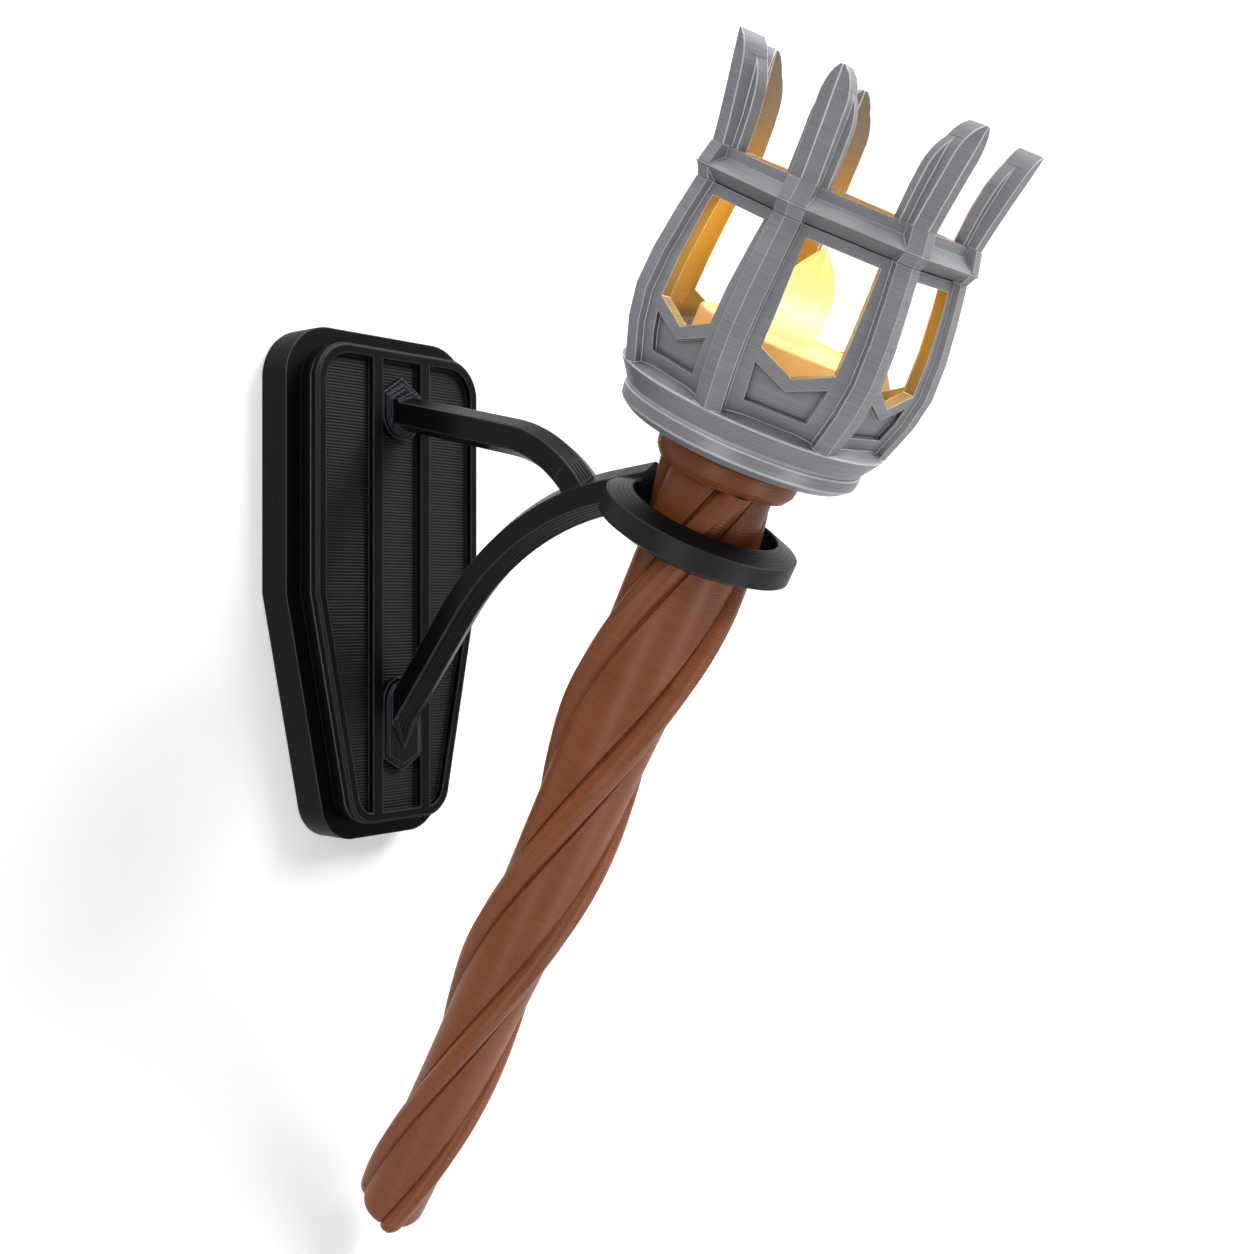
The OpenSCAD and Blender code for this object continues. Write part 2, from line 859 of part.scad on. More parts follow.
module tealight_top() {
    color(CREAM)
        on_light()
            rotate_extrude($fn = 120)
                polygon([[plug_r + 0.1, top_z - 1.6], [plug_r + 1.4, top_z - 1.6], [plug_r + 1.6, top_z - 0.4],
                    [tea_r - shell_t - 0.1, top_z - 0.4], [tea_r - shell_t - 0.1, top_z], [tea_r, top_z],
                    [tea_r, tea_h - 0.3], [tea_r - 0.3, tea_h], [tea_r - 1.2, tea_h],
                    [tea_r - 2, tea_h - 0.6], [plug_r + 3, tea_h - 0.4], [plug_r + 0.1, tea_h]]);
}

// outline of the flame from its base to its tip
function flame_w(u) = flame_r * (u < 0.28 ? 0.8 + 0.2 * sin(90 * u / 0.28) : cos(90 * pow((u - 0.28) / 0.72, 1.35)));

module flame() {
    n = 24;
    color(CREAM)
        on_light()
            difference() {
                union() {
                    rotate_extrude($fn = 96)
                        polygon(concat([[0, tea_h]], [for (i = [0 : n]) [flame_w(i / n), tea_h + flame_h * i / n]]));
                    translate([0, 0, top_z - 1.6])
                        cylinder(h = 1.6 + top_t + 0.5, r = plug_r, $fn = 72);
                }
                translate([0, 0, 0])
                    cylinder(h = tea_h + 1, r = 3, $fn = 48);
            }
}

module led() {
    color(CREAM)
        on_light()
            translate([0, 0, well_t + board_t]) {
                cylinder(h = 1, r = 2.9, $fn = 48);
                cylinder(h = 5.5, r = 2.5, $fn = 48);
                translate([0, 0, 5.5])
                    sphere(r = 2.5, $fn = 48);
            }
}

module circuit_board() {
    color([0.05, 0.25, 0.12])
        on_light()
            translate([0, 0, well_t])
                cylinder(h = board_t, r = cell_r + 1.4, $fn = 72);
}

module cell_contacts() {
    color(STEEL)
        on_light()
            translate([0, 0, well_t - contact_t])
                difference() {
                    cylinder(h = contact_t, r = 6, $fn = 48);
                    translate([0, 0, -1])
                        cylinder(h = 4, r = 3.6, $fn = 48);
                }
}

module coin_cell() {
    color(STEEL)
        on_light()
            translate([0, 0, shell_t])
                cylinder(h = cell_t, r = cell_r, $fn = 96);
}

module cell_door() {
    color(CREAM)
        on_light()
            difference() {
                cylinder(h = shell_t, r = door_r, $fn = 96);
                translate([7.6, 0, -1])
                    cylinder(h = 4, r = 0.9 + screw_gap, $fn = 32);
            }
}

module door_screw() {
    color(STEEL)
        on_light()
            translate([7.6, 0, -0.7]) {
                cylinder(h = 0.7, r = 1.6, $fn = 48);
                cylinder(h = 0.7 + shell_t, r = 0.9, $fn = 32);
            }
}

module switch_slider() {
    color(BLACK)
        on_light()
            translate([0, switch_y, 0]) {
                translate([-1.5, -1, -1])
                    cube([3, 2, 1 + shell_t]);
                translate([-3.2, -1.9, shell_t])
                    cube([6.4, 3.8, 0.8]);
            }
}

back_plate();
plate_body();
face_plate();
upper_arm();
lower_arm();
ring();
arm_screws();
plate_screws();
upper_grip();
lower_grip();
handle_flange();
seat_collar();
core_rod();
rod_nut();
basket_base();
basket_cage();
basket_collar();
basket_prongs();
candle_tray();
tealight_shell();
tealight_top();
flame();
led();
circuit_board();
cell_contacts();
coin_cell();
cell_door();
door_screw();
switch_slider();
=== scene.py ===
import json
import math
import bmesh
import bpy
from mathutils import Matrix, Vector

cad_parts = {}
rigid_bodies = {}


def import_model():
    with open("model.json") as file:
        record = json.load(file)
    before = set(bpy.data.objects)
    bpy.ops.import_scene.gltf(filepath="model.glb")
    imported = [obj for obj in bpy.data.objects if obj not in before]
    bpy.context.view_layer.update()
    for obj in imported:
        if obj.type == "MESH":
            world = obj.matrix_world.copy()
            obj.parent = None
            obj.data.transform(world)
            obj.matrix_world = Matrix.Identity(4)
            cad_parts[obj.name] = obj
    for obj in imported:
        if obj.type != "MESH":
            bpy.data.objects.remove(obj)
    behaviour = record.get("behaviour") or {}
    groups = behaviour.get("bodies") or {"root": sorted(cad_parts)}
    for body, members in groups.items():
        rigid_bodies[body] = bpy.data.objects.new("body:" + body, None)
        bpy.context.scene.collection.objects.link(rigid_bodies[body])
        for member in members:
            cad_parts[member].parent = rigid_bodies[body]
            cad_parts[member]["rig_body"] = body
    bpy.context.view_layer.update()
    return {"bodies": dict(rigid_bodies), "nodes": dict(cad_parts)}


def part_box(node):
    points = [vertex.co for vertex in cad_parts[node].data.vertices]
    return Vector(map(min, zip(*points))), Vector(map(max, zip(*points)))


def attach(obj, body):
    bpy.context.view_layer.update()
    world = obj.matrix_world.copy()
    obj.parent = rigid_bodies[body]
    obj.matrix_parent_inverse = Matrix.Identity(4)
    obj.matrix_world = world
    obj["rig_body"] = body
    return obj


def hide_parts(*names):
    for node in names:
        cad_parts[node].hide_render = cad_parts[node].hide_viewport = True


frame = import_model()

# Torch sconce: black wall bracket, twisted brown handle, grey basket and a lit candle light.
# Lengths are in metres, in the CAD frame: the wall is y = 0 and z is up.

nodes = frame["nodes"]
scene = bpy.context.scene
scene.view_settings.view_transform = "Standard"

# torch frame: its z axis runs up the torch from the widest line of the basket's collar
LEAN = math.radians(28.7)
TORCH = Vector((0, -0.14277, 0.07213))
TO_TORCH = Matrix.Translation(TORCH) @ Matrix.Rotation(LEAN, 4, "X")
FROM_TORCH = TO_TORCH.inverted()
TORCH_AXIS = (0, -math.sin(LEAN), math.cos(LEAN))


# ---------------------------------------------------------------- node trees

# sockets of a mix node that mixes colours
MIX_A, MIX_B, MIX_RESULT = 6, 7, 2
# match of the rounded and the flat normal at which an edge starts, and at which it is full
EDGE_STARTS, EDGE_FULL = 0.985, 0.93
EVEN = (1, 1, 1)
WHITE = (1, 1, 1)


class Graph:
    """A material's node tree, with short calls to add and join nodes."""

    def __init__(self, name):
        self.mat = bpy.data.materials.new(name)
        self.mat.use_nodes = True
        self.tree = self.mat.node_tree
        self.tree.nodes.clear()
        self.out = self.add("ShaderNodeOutputMaterial")
        self.shader = self.add("ShaderNodeBsdfPrincipled")
        self.join(self.shader, "BSDF", self.out, "Surface")

    def add(self, kind, **values):
        node = self.tree.nodes.new(kind)
        for key, value in values.items():
            setattr(node, key, value)
        return node

    def join(self, a, out, b, into):
        self.tree.links.new(a.outputs[out], b.inputs[into])

    def set(self, **values):
        """Constants of the shader, with spaces in the sockets' names written as underscores."""
        for key, value in values.items():
            self.shader.inputs[key.replace("_", " ")].default_value = value

    def place(self, torch, scale):
        """Coordinates fixed to the piece, in the torch's frame where torch is true, times scale."""
        coord = self.add("ShaderNodeTexCoord")
        mapping = self.add("ShaderNodeMapping", vector_type="TEXTURE")
        if torch:
            mapping.inputs["Location"].default_value = TORCH
            mapping.inputs["Rotation"].default_value = (LEAN, 0, 0)
        mapping.inputs["Scale"].default_value = [1 / s for s in scale]
        self.join(coord, "Object", mapping, "Vector")
        return mapping

    def noise(self, at, scale, detail, rough=0.5):
        node = self.add("ShaderNodeTexNoise")
        node.inputs["Scale"].default_value = scale
        node.inputs["Detail"].default_value = detail
        node.inputs["Roughness"].default_value = rough
        self.join(at, "Vector", node, "Vector")
        return node

    def ramp(self, source, stops, out="Fac"):
        """Colours in turn at the stops of a value."""
        node = self.add("ShaderNodeValToRGB")
        self.join(source, out, node, "Fac")
        ramp = node.color_ramp
        while len(ramp.elements) < len(stops):
            ramp.elements.new(0.5)
        for element, (pos, colour) in zip(ramp.elements, stops):
            element.position = pos
            element.color = (*colour, 1)
        return node

    def spread(self, source, low, high, out="Fac"):
        """A value from 0 to 1 brought to a range."""
        node = self.add("ShaderNodeMapRange")
        node.inputs["To Min"].default_value = low
        node.inputs["To Max"].default_value = high
        self.join(source, out, node, "Value")
        return node

    def share(self, source, out, start, end):
        """0 to 1 as a value goes from start to end."""
        node = self.add("ShaderNodeMapRange")
        node.inputs["From Min"].default_value = start
        node.inputs["From Max"].default_value = end
        self.join(source, out, node, "Value")
        return node

    def height(self, at, low, high):
        """0 to 1 as the z of the coordinates goes from low to high."""
        split = self.add("ShaderNodeSeparateXYZ")
        self.join(at, "Vector", split, "Vector")
        return self.share(split, "Z", low, high)

    def edges(self, reach):
        """1 on sharp edges and 0 elsewhere, and the node whose normal rounds them."""
        rounded = self.add("ShaderNodeBevel", samples=4)
        rounded.inputs["Radius"].default_value = reach
        flat = self.add("ShaderNodeNewGeometry")
        match = self.add("ShaderNodeVectorMath", operation="DOT_PRODUCT")
        self.join(rounded, "Normal", match, 0)
        self.join(flat, "Normal", match, 1)
        return self.share(match, "Value", EDGE_STARTS, EDGE_FULL), rounded

    def times(self, first, second):
        """Output of one colour times another."""
        node = self.add("ShaderNodeMix", data_type="RGBA", blend_type="MULTIPLY")
        node.inputs["Factor"].default_value = 1.0
        self.tree.links.new(first, node.inputs[MIX_A])
        self.tree.links.new(second, node.inputs[MIX_B])
        return node.outputs[MIX_RESULT]

    def bump(self, source, strength, depth, under=None):
        """Relief of a pattern, over the normal of the node under it."""
        node = self.add("ShaderNodeBump")
        node.inputs["Strength"].default_value = strength
        node.inputs["Distance"].default_value = depth
        self.join(source, "Fac", node, "Height")
        if under:
            self.join(under, "Normal", node, "Normal")
        return node


def scaled(colour, factor):
    return [min(1.0, c * factor) for c in colour]


# ---------------------------------------------------------------- printed plastic

BAND_SCALE = 0.314159  # of a wave texture whose bands are one metre apart
STREAK_THIN = 0.025  # thickness of a layer's streaks, as a share of their length
# how much each pattern weighs in the tone, as a share of vary
STREAK_WEIGHT, BLOTCH_WEIGHT, FINE_WEIGHT = 2.2, 1, 0.5
ALL_WEIGHTS = 3.7
BLOTCHES, GRAINS = 120.0, 2600.0
# relief of the streaks and of the grain, as a share of the layers' depth
STREAK_DEPTH, GRAIN_DEPTH, GRAIN_STRENGTH = 1.2, 0.4, 0.6
ROUGH_SPREAD = 0.1
# painted shade in creases and recesses: how far the ambient occlusion looks, and the openness at which the
# painted shade is darkest
CREASE_REACH = 0.005
CREASE_DARKEST = 0.25  # openness at which a crease is darkest
EDGE_REACH = 0.0003


def printed(name, colour, torch, axis="Z", rough=0.42, metallic=0.0, specular=0.5, pitch=0.00075,
            contrast=0.22, depth=0.00005, vary=0.16, span=(0.45, 1.75), crease=0.6, open_from=0.85,
            edge_sheen=2.2, reach=EDGE_REACH, painted_glow=None):
    """Printed plastic: layer lines, streaks, mottling, painted shade in creases and painted highlights on
    edges.

    Layers are stacked along an axis of the world or of the torch. span is the darkest and the
    palest tone over the colour; worn is the tone of the painted edge highlight over it, and reach how far
    an edge goes. crease is how much the painted shade darkens creases.
    """
    g = Graph(name)
    thin = [1 if side == axis else STREAK_THIN for side in "XYZ"]
    streak = g.noise(g.place(torch, thin), 1 / pitch, 1.0, 0.6)
    even = g.place(torch, EVEN)
    wave = g.add("ShaderNodeTexWave", wave_type="BANDS", bands_direction=axis, wave_profile="SIN")
    wave.inputs["Scale"].default_value = BAND_SCALE / pitch
    wave.inputs["Distortion"].default_value = 0.0
    g.join(even, "Vector", wave, "Vector")
    blotch = g.noise(even, BLOTCHES, 3.0, 0.55)
    fine = g.noise(even, GRAINS, 2.0, 0.6)

    total = None
    for node, weight in ((wave, contrast), (streak, vary * STREAK_WEIGHT),
                         (blotch, vary * BLOTCH_WEIGHT), (fine, vary * FINE_WEIGHT)):
        term = g.add("ShaderNodeMath", operation="MULTIPLY_ADD")
        g.join(node, "Fac", term, 0)
        term.inputs[1].default_value = weight
        if total:
            g.join(total, "Value", term, 2)
        else:
            term.inputs[2].default_value = 0.5 - 0.5 * (contrast + vary * ALL_WEIGHTS)
        total = term
    stops = [(0.0, scaled(colour, span[0])), (0.5, colour), (1.0, scaled(colour, span[1]))]
    tone = g.ramp(total, stops, "Value").outputs["Color"]
    # painted light: the tone is multiplied by a colour ramp over height, standing in for light from the
    # flame
    if painted_glow:
        low, high, colours = painted_glow
        tone = g.times(tone, g.ramp(g.height(even, low, high), colours, "Result").outputs["Color"])

    # painted shade: ambient occlusion darkens the colour in creases and recesses, as shade would
    near = g.add("ShaderNodeAmbientOcclusion", samples=6, only_local=False)
    near.inputs["Distance"].default_value = CREASE_REACH
    dark = g.ramp(near, [(CREASE_DARKEST, (1 - crease,) * 3), (open_from, WHITE)], "AO")
    # painted highlight: the colour turns paler on sharp edges, as a sheen would show there; the rounded
    # normal from the same node is real shading
    edge, rounded = g.edges(reach)
    pale = g.add("ShaderNodeMix", data_type="RGBA", blend_type="MIX")
    g.join(edge, "Result", pale, "Factor")
    g.tree.links.new(g.times(tone, dark.outputs["Color"]), pale.inputs[MIX_A])
    pale.inputs[MIX_B].default_value = scaled(colour, edge_sheen) + [1]
    g.tree.links.new(pale.outputs[MIX_RESULT], g.shader.inputs["Base Color"])

    rough_map = g.spread(total, rough - ROUGH_SPREAD, rough + ROUGH_SPREAD, "Value")
    g.join(rough_map, "Result", g.shader, "Roughness")
    layers = g.bump(wave, 1.0, depth, rounded)
    streaks = g.bump(streak, 1.0, depth * STREAK_DEPTH, layers)
    grain = g.bump(fine, GRAIN_STRENGTH, depth * GRAIN_DEPTH, streaks)
    g.join(grain, "Normal", g.shader, "Normal")
    g.set(Metallic=metallic, Specular_IOR_Level=specular)
    return g.mat


BLACK = (0.003, 0.0032, 0.0038)
# the black's edges are painted this many times paler, as a highlight
EDGE_SHEEN_OF_BLACK = 19
BLACK_REACH = 0.00065
black_y = printed("printed black, layers along Y", BLACK, False, "Y", rough=0.45, specular=0.06,
                  contrast=0.3, edge_sheen=EDGE_SHEEN_OF_BLACK, reach=BLACK_REACH)
black_x = printed("printed black, layers along X", BLACK, False, "X", rough=0.26, specular=0.12,
                  contrast=0.2, edge_sheen=EDGE_SHEEN_OF_BLACK * 1.4, reach=BLACK_REACH)
black_ring = printed("printed black ring", (0.0055, 0.0058, 0.0066), True, rough=0.4, specular=0.16,
                     pitch=0.00036, contrast=0.5, depth=0.00003, span=(0.3, 2.2), edge_sheen=11, reach=0.0005)
black_fill = printed("printed black infill", (0.0058, 0.006, 0.0068), False, rough=0.46, specular=0.12,
                     contrast=0.8, depth=0.0001, span=(0.12, 3.0), edge_sheen=3)
# the bevelled edge faces of the black pieces, painted paler as a highlight
black_edge_sheen = printed("printed black, painted edge sheen", (0.075, 0.077, 0.08), False, rough=0.36, specular=0.4,
                     contrast=0.1, crease=0.0)
brown = printed("printed brown", (0.298, 0.09, 0.029), True, rough=0.38, specular=0.17, contrast=0.16,
                depth=0.000025, span=(0.5, 1.6), crease=0.6)

SILK_PITCH = 0.0003
grey = printed("printed silk grey", (0.295, 0.3, 0.317), True, rough=0.36, metallic=0.1, specular=0.22,
               pitch=SILK_PITCH, contrast=0.2, depth=0.000009, vary=0.2, span=(0.45, 1.6), crease=0.85,
               open_from=0.92)
# the faces round the flame get a painted glow of the flame's light, by height on the torch: deep amber at
# the windows, plain at the prongs' tips
GLOW_LOW, GLOW_HIGH = -0.032, 0.025
GLOW = [(0.0, (0.6, 0.46, 0.22)), (0.3, (0.8, 0.56, 0.15)), (0.5, (0.9, 0.62, 0.14)),
        (0.66, (0.8, 0.62, 0.3)), (0.82, (0.6, 0.53, 0.42)), (1.0, (0.5, 0.47, 0.43))]
grey_painted_glow = printed("printed silk grey, painted flame glow", (0.42, 0.42, 0.42), True, rough=0.36, specular=0.15,
                    pitch=SILK_PITCH, contrast=0.14, depth=0.000007, span=(0.55, 1.5), crease=0.4,
                    edge_sheen=2, painted_glow=(GLOW_LOW, GLOW_HIGH, GLOW))
# the bevelled edge faces of the grey pieces, painted paler as a highlight
grey_edge_sheen = printed("printed silk grey, painted edge sheen", (0.6, 0.61, 0.63), True, rough=0.32, metallic=0.1,
                    specular=0.4, pitch=SILK_PITCH, contrast=0.06, depth=0.000004, vary=0.12,
                    span=(0.7, 1.3), crease=0.0)


# ---------------------------------------------------------------- other materials

# where on a noise the darker tone ends and the paler tone starts
GRAIN_STOPS = (0.3, 0.7)


def two_tone(g, pattern, dark, pale):
    """The shader's colour, from dark to pale over a noise."""
    tone = g.ramp(pattern, list(zip(GRAIN_STOPS, (dark, pale))))
    g.join(tone, "Color", g.shader, "Base Color")


def metal(name, colour, rough):
    """Bare sheet or screw metal with a fine grain."""
    g = Graph(name)
    grain = g.noise(g.place(False, EVEN), 900, 4.0, 0.6)
    two_tone(g, grain, scaled(colour, 0.8), colour)
    g.join(g.spread(grain, rough - 0.08, rough + 0.08), "Result", g.shader, "Roughness")
    g.join(g.bump(grain, 0.15, 0.00002), "Normal", g.shader, "Normal")
    g.set(Metallic=1.0)
    return g.mat


def plain(name, dark, pale, rough):
    """Moulded plastic or laminate with a fine grain."""
    g = Graph(name)
    grain = g.noise(g.place(False, EVEN), 700, 3.0)
    two_tone(g, grain, dark, pale)
    g.join(g.bump(grain, 0.1, 0.00002), "Normal", g.shader, "Normal")
    g.set(Roughness=rough)
    return g.mat


def lit(name, stops, low, high, strength, rough, base, source=None):
    """Warm plastic that glows by emission; its glow goes by height on the torch, or by distance from a
    source.
    """
    g = Graph(name)
    at = g.place(True, EVEN)
    if source:
        away = g.add("ShaderNodeVectorMath", operation="DISTANCE")
        g.join(at, "Vector", away, 0)
        away.inputs[1].default_value = source
        span = g.share(away, "Value", low, high)
    else:
        span = g.height(at, low, high)
    g.join(g.ramp(span, stops, "Result"), "Color", g.shader, "Emission Color")
    mottle = g.noise(at, 260, 3.0)
    two_tone(g, mottle, scaled(base, 0.9), base)
    g.join(g.bump(mottle, 0.1, 0.00005), "Normal", g.shader, "Normal")
    g.set(Roughness=rough, Emission_Strength=strength)
    return g.mat


steel = metal("zinc steel", (0.6, 0.6, 0.62), 0.35)
brass = metal("sheet brass", (0.75, 0.55, 0.22), 0.3)
board = plain("green laminate", (0.01, 0.08, 0.03), (0.03, 0.16, 0.06), 0.35)
moulded = plain("moulded black", (0.012, 0.012, 0.013), (0.028, 0.028, 0.03), 0.4)

CANDLE_Y = -0.0035  # of the candle's middle line, in the torch frame
FLAME_FOOT = (0, CANDLE_Y, -0.0254)
flame_mat = lit("lit flame",
                [(0.0, (1.0, 0.76, 0.28)), (0.14, (1.0, 0.9, 0.44)), (0.32, (1.0, 0.98, 0.74)),
                 (0.52, (1.0, 0.91, 0.38)), (0.8, (1.0, 0.84, 0.2)), (1.0, (0.95, 0.66, 0.1))],
                -0.026, -0.006, strength=1.0, rough=0.45, base=(0.12, 0.07, 0.02))
# painted light: the shell glows brightest near the flame's foot, where the flame's light would fall on it
shell_painted_glow = lit("shell, painted flame glow", [(0.0, (1.0, 0.86, 0.3)), (0.4, (1.0, 0.6, 0.16)), (1.0, (0.42, 0.14, 0.02))],
                0.006, 0.026, strength=0.55, rough=0.4, base=(0.72, 0.46, 0.22), source=FLAME_FOOT)
led_mat = lit("lit lamp", [(0.0, (1.0, 0.8, 0.4)), (1.0, (1.0, 0.95, 0.7))],
              -0.034, -0.025, strength=1.0, rough=0.2, base=(0.8, 0.7, 0.5))


# ---------------------------------------------------------------- looks of the CAD pieces

SPIN, SIDE = math.radians(43.8), math.tau / 7  # of the basket's seven sides
WINDOW_HALF, WINDOW_LOW, WINDOW_TOP = 0.0082, -0.0302, -0.0044
LOOKS_IN, LOOKS_OUT = -0.3, 0.5
FACE_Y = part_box("face_plate")[0].y
PANEL_DEPTH = 0.0019


def gets_painted_glow(polygon):
    """True where a face of the basket looks in towards the flame or lines a window; these faces get the
    painted glow.
    """
    place = FROM_TORCH @ polygon.center
    out = Vector((place.x, place.y, 0))
    facing = (FROM_TORCH.to_3x3() @ polygon.normal).dot(out.normalized())
    turn = (math.atan2(place.y, place.x) - SPIN) % SIDE - SIDE / 2
    in_window = abs(out.length * math.sin(turn)) < WINDOW_HALF and place.z < WINDOW_TOP
    return place.z > WINDOW_LOW and (facing < LOOKS_IN or (facing < LOOKS_OUT and in_window))


def in_panel(polygon):
    """True where a face is the floor of one of the face plate's sunken panels."""
    return polygon.normal.y < -0.95 and polygon.center.y > FACE_Y + PANEL_DEPTH / 2


WELD_REACH = 0.000004
GREY_ROUND, BLACK_ROUND = 0.00034, 0.00026
ROUND_FROM, CREASE_FROM = math.radians(28), math.radians(32)
BASKET = (grey, grey_edge_sheen, grey_painted_glow, gets_painted_glow)
# for each node: its material, that of its rounded edges, which is painted paler as a highlight, and one
# for the faces that a test picks, such as the basket's painted glow
LOOK = {
    "back_plate": (black_y, black_edge_sheen), "plate_body": (black_y, black_edge_sheen),
    "face_plate": (black_y, black_edge_sheen, black_fill, in_panel),
    "upper_arm": (black_x, black_edge_sheen), "lower_arm": (black_x, black_edge_sheen),
    "ring": (black_ring, black_edge_sheen), "seat_collar": (black_ring,), "candle_tray": (black_ring,),
    "arm_screws": (steel,), "plate_screws": (steel,), "core_rod": (steel,), "rod_nut": (steel,),
    "door_screw": (steel,), "coin_cell": (steel,),
    "handle_flange": (brown,), "basket_base": (grey, grey_edge_sheen),
    "basket_cage": BASKET, "basket_collar": BASKET, "basket_prongs": BASKET,
    "tealight_shell": (shell_painted_glow,), "tealight_top": (shell_painted_glow,), "cell_door": (shell_painted_glow,),
    "flame": (flame_mat,), "led": (led_mat,),
    "circuit_board": (board,), "cell_contacts": (brass,), "switch_slider": (moulded,)}


def dress(o, surface, edge=None, other=None, picked=None):
    """Give a CAD piece its materials, rounded edges and clean shading."""
    mesh = o.data
    mesh.materials.clear()
    for mat in (surface, edge, other):
        if mat:
            mesh.materials.append(mat)
    picks = [2 if picked and picked(p) else 0 for p in mesh.polygons]
    mesh.polygons.foreach_set("material_index", picks)
    mesh.polygons.foreach_set("use_smooth", [True] * len(mesh.polygons))
    weld = o.modifiers.new("weld", "WELD")
    weld.merge_threshold = WELD_REACH
    if edge:
        bevel = o.modifiers.new("edges", "BEVEL")
        bevel.width = GREY_ROUND if surface is grey else BLACK_ROUND
        bevel.segments = 2
        bevel.limit_method = "ANGLE"
        bevel.angle_limit = ROUND_FROM
        # the bevel's new faces take the second material: a paler colour painted on as an edge highlight
        bevel.material = 1
        bevel.use_clamp_overlap = True
    split = o.modifiers.new("creases", "EDGE_SPLIT")
    split.split_angle = CREASE_FROM
    level = o.modifiers.new("flat faces stay flat", "WEIGHTED_NORMAL")
    level.keep_sharp = True


for name, look in LOOK.items():
    dress(nodes[name], *look)
for o in nodes.values():
    if o.data.has_custom_normals:
        with bpy.context.temp_override(object=o, active_object=o, selected_objects=[o]):
            bpy.ops.mesh.customdata_custom_splitnormals_clear()
for name in ("flame", "led"):
    nodes[name].visible_shadow = False


def new_piece(name, mesh, mat):
    """A piece of the scene's own, of one material."""
    mesh.materials.append(mat)
    piece = bpy.data.objects.new(name, mesh)
    scene.collection.objects.link(piece)
    return piece


# ---------------------------------------------------------------- handle

# distances down the torch from its frame; the two skins part at the hidden seat collar
GRIP_TOP, SEAT_TOP, SEAT_FOOT, GRIP_TIP = 0.0568, 0.06975, 0.07225, 0.264
SIZE = [(GRIP_TOP, 1.0), (0.088, 0.968), (0.118, 0.89), (0.151, 0.83), (0.184, 0.755), (0.217, 0.7),
        (0.25, 0.683), (GRIP_TIP, 0.678)]
SMOOTH_STEP, SMOOTH_STEPS = 0.004, 3

# section at the top in millimetres and degrees: a trunk and three ropes, with a crest along each
# rope, a crease beside it and a lip outside the crease
TRUNK, ROPE, ROPE_MIDDLE = 11.4, 3.6, 10.8
CREST_RISE, CREST_WIDTH = 0.28, 2.2
CREASE_DEPTH, CREASE_TURN, CREASE_WIDTH = 0.55, 19.4, 1.3
LIP_RISE, LIP_TURN, LIP_WIDTH = 0.14, 23.5, 1.6

# the ropes go once round in PITCH millimetres, and stand at TURN degrees at TURN_AT
PITCH, TURN_AT, TURN = 202, 137, 210.8
# middle line, in millimetres off the torch's axis, from BEND_TOP over BEND_LENGTH
BEND_TOP, BEND_LENGTH = 0.082, 0.174
BEND_START, BEND_SLOPE, BEND_CURVE = -0.49, 0.86, 3.7
TIP_ROUND, TIP_SHARE, TIP_BULGE = 0.0034, 0.95, 0.0003
LEAST_RADIUS = 0.0005
AROUND, ROW_STEP = 320, 0.0007


def between(table, x):
    """Value at x on straight lines through the table's points."""
    for (x0, y0), (x1, y1) in zip(table, table[1:]):
        if x <= x1:
            break
    t = min(max((x - x0) / (x1 - x0), 0), 1)
    return y0 + (y1 - y0) * t


def grip_size(d):
    """Size of the section, with the table's corners rounded off."""
    near = range(-SMOOTH_STEPS, SMOOTH_STEPS + 1)
    return sum(between(SIZE, d + SMOOTH_STEP * k) for k in near) / len(near)


def swell(turn, middle, width):
    """1 at a turn and 0 away from it."""
    return math.exp(-((turn - middle) / width) ** 2)


def section(turn):
    """Radius of the handle at its top, at an angle from the middle of a rope ridge."""
    turn = abs((turn + 60) % 120 - 60)
    a = math.radians(turn)
    inside = ROPE ** 2 - (ROPE_MIDDLE * math.sin(a)) ** 2
    radius = TRUNK
    if inside > 0:
        radius = max(TRUNK, ROPE_MIDDLE * math.cos(a) + math.sqrt(inside))
        radius += CREST_RISE * swell(turn, 0, CREST_WIDTH)
    radius -= CREASE_DEPTH * swell(turn, CREASE_TURN, CREASE_WIDTH)
    radius += LIP_RISE * swell(turn, LIP_TURN, LIP_WIDTH)
    return radius / 1000


def tip_inset(d):
    """How far the round at the tip draws the skin in."""
    left = GRIP_TIP - d
    if left >= TIP_ROUND:
        return 0
    return TIP_ROUND - math.sqrt(max(TIP_ROUND ** 2 - (TIP_ROUND - left) ** 2, 0))


